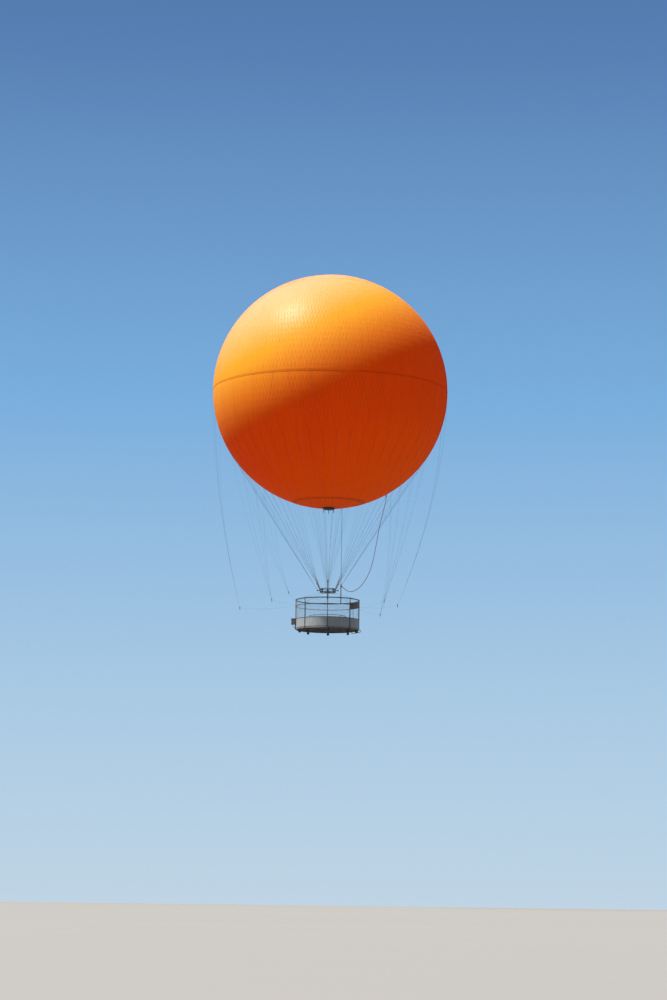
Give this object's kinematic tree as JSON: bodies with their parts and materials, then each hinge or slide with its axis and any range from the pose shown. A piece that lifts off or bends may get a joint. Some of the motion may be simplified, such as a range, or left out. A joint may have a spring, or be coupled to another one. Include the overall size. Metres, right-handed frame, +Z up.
{
  "type": "tethered helium balloon",
  "caption": "Round helium balloon with suspension lines, load ring, tether swivel and a ring-shaped passenger gondola on swivelling casters, with a hinged gate.",
  "frame": {"origin": "centre of the round envelope, where the buoyant lift holds the balloon up", "axes": "+Z up, along the envelope's and the gondola's common axis; -Y towards the viewer of the picture's front side; +X to its right"},
  "size_m": [22.0328, 22.0328, 33.8572],
  "materials": {
    "envelope_fabric": "coated woven fabric, satin orange, stretched taut",
    "seam_tape": "dark orange-brown load tape over the equator seam",
    "rope": "dark braided rope and webbing",
    "ring_steel": "satin grey stainless steel",
    "dark_steel": "dark blue-grey painted tube",
    "cladding": "satin grey aluminium sheet",
    "deck": "brown-grey painted base frame",
    "brown_panel": "dark brown painted panel",
    "black_plastic": "matt black plastic and rubber",
    "tyre": "black solid rubber tyre"
  },
  "bodies": {
    "balloon": {"envelope_upper": "envelope_fabric", "envelope_lower": "envelope_fabric", "equator_band": "seam_tape", "lower_patch": "envelope_fabric", "crown_plate": "ring_steel", "valve_flange": "black_plastic", "valve_body": "black_plastic", "load_ring": "ring_steel", "suspension_fan_1": "rope", "suspension_fan_2": "rope", "suspension_fan_3": "rope", "suspension_fan_4": "rope", "suspension_fan_5": "rope", "suspension_fan_6": "rope", "suspension_fan_7": "rope", "suspension_fan_8": "rope", "gondola_hanger_1": "ring_steel", "gondola_hanger_2": "ring_steel", "gondola_hanger_3": "ring_steel", "gondola_hanger_4": "ring_steel", "gondola_hanger_5": "ring_steel", "gondola_hanger_6": "ring_steel", "gondola_hanger_7": "ring_steel", "gondola_hanger_8": "ring_steel", "gondola_deck": "deck", "parapet": "cladding", "cage_frame": "dark_steel", "cage_top_ring": "dark_steel", "inner_rail_1": "dark_steel", "inner_rail_2": "dark_steel", "inner_rail_3": "dark_steel", "inner_rail_4": "dark_steel", "gate_header": "brown_panel", "boarding_step": "dark_steel", "equipment_box": "black_plastic", "hose_fitting": "black_plastic", "service_hose": "black_plastic", "control_line": "rope"},
    "tether_swivel": {"tether_socket": "dark_steel"},
    "gate": {"gate_leaf": "cladding"},
    "caster_1": {"caster_fork_1": "dark_steel"},
    "caster_2": {"caster_fork_2": "dark_steel"},
    "caster_3": {"caster_fork_3": "dark_steel"},
    "caster_4": {"caster_fork_4": "dark_steel"},
    "caster_5": {"caster_fork_5": "dark_steel"},
    "caster_6": {"caster_fork_6": "dark_steel"},
    "caster_7": {"caster_fork_7": "dark_steel"},
    "caster_8": {"caster_fork_8": "dark_steel"},
    "wheel_1": {"caster_wheel_1": "tyre"},
    "wheel_2": {"caster_wheel_2": "tyre"},
    "wheel_3": {"caster_wheel_3": "tyre"},
    "wheel_4": {"caster_wheel_4": "tyre"},
    "wheel_5": {"caster_wheel_5": "tyre"},
    "wheel_6": {"caster_wheel_6": "tyre"},
    "wheel_7": {"caster_wheel_7": "tyre"},
    "wheel_8": {"caster_wheel_8": "tyre"}
  },
  "joints": [
    {"name": "tether_turn", "type": "hinge", "parent": "balloon", "child": "tether_swivel", "pos_m": [0, 0, -19.2], "axis": [0, 0, 1], "continuous": true},
    {"name": "gate_swing", "type": "hinge", "parent": "balloon", "child": "gate", "pos_m": [2.40653, 1.57479, -21.9], "axis": [0, 0, -1], "range_deg": [0, 90]},
    {"name": "caster_1_swivel", "type": "hinge", "parent": "balloon", "child": "caster_1", "pos_m": [0, -2.63, -22.44], "axis": [0, 0, 1], "continuous": true},
    {"name": "caster_2_swivel", "type": "hinge", "parent": "balloon", "child": "caster_2", "pos_m": [1.85969, -1.85969, -22.44], "axis": [0, 0, 1], "continuous": true},
    {"name": "caster_3_swivel", "type": "hinge", "parent": "balloon", "child": "caster_3", "pos_m": [2.63, 0, -22.44], "axis": [0, 0, 1], "continuous": true},
    {"name": "caster_4_swivel", "type": "hinge", "parent": "balloon", "child": "caster_4", "pos_m": [1.85969, 1.85969, -22.44], "axis": [0, 0, 1], "continuous": true},
    {"name": "caster_5_swivel", "type": "hinge", "parent": "balloon", "child": "caster_5", "pos_m": [0, 2.63, -22.44], "axis": [0, 0, 1], "continuous": true},
    {"name": "caster_6_swivel", "type": "hinge", "parent": "balloon", "child": "caster_6", "pos_m": [-1.85969, 1.85969, -22.44], "axis": [0, 0, 1], "continuous": true},
    {"name": "caster_7_swivel", "type": "hinge", "parent": "balloon", "child": "caster_7", "pos_m": [-2.63, 0, -22.44], "axis": [0, 0, 1], "continuous": true},
    {"name": "caster_8_swivel", "type": "hinge", "parent": "balloon", "child": "caster_8", "pos_m": [-1.85969, -1.85969, -22.44], "axis": [0, 0, 1], "continuous": true},
    {"name": "wheel_1_roll", "type": "hinge", "parent": "caster_1", "child": "wheel_1", "pos_m": [0.07, -2.63, -22.612], "axis": [0, 1, 0], "continuous": true},
    {"name": "wheel_2_roll", "type": "hinge", "parent": "caster_2", "child": "wheel_2", "pos_m": [1.92969, -1.85969, -22.612], "axis": [0, 1, 0], "continuous": true},
    {"name": "wheel_3_roll", "type": "hinge", "parent": "caster_3", "child": "wheel_3", "pos_m": [2.7, 0, -22.612], "axis": [0, 1, 0], "continuous": true},
    {"name": "wheel_4_roll", "type": "hinge", "parent": "caster_4", "child": "wheel_4", "pos_m": [1.92969, 1.85969, -22.612], "axis": [0, 1, 0], "continuous": true},
    {"name": "wheel_5_roll", "type": "hinge", "parent": "caster_5", "child": "wheel_5", "pos_m": [0.07, 2.63, -22.612], "axis": [0, 1, 0], "continuous": true},
    {"name": "wheel_6_roll", "type": "hinge", "parent": "caster_6", "child": "wheel_6", "pos_m": [-1.78969, 1.85969, -22.612], "axis": [0, 1, 0], "continuous": true},
    {"name": "wheel_7_roll", "type": "hinge", "parent": "caster_7", "child": "wheel_7", "pos_m": [-2.56, 0, -22.612], "axis": [0, 1, 0], "continuous": true},
    {"name": "wheel_8_roll", "type": "hinge", "parent": "caster_8", "child": "wheel_8", "pos_m": [-1.78969, -1.85969, -22.612], "axis": [0, 1, 0], "continuous": true}
  ]
}
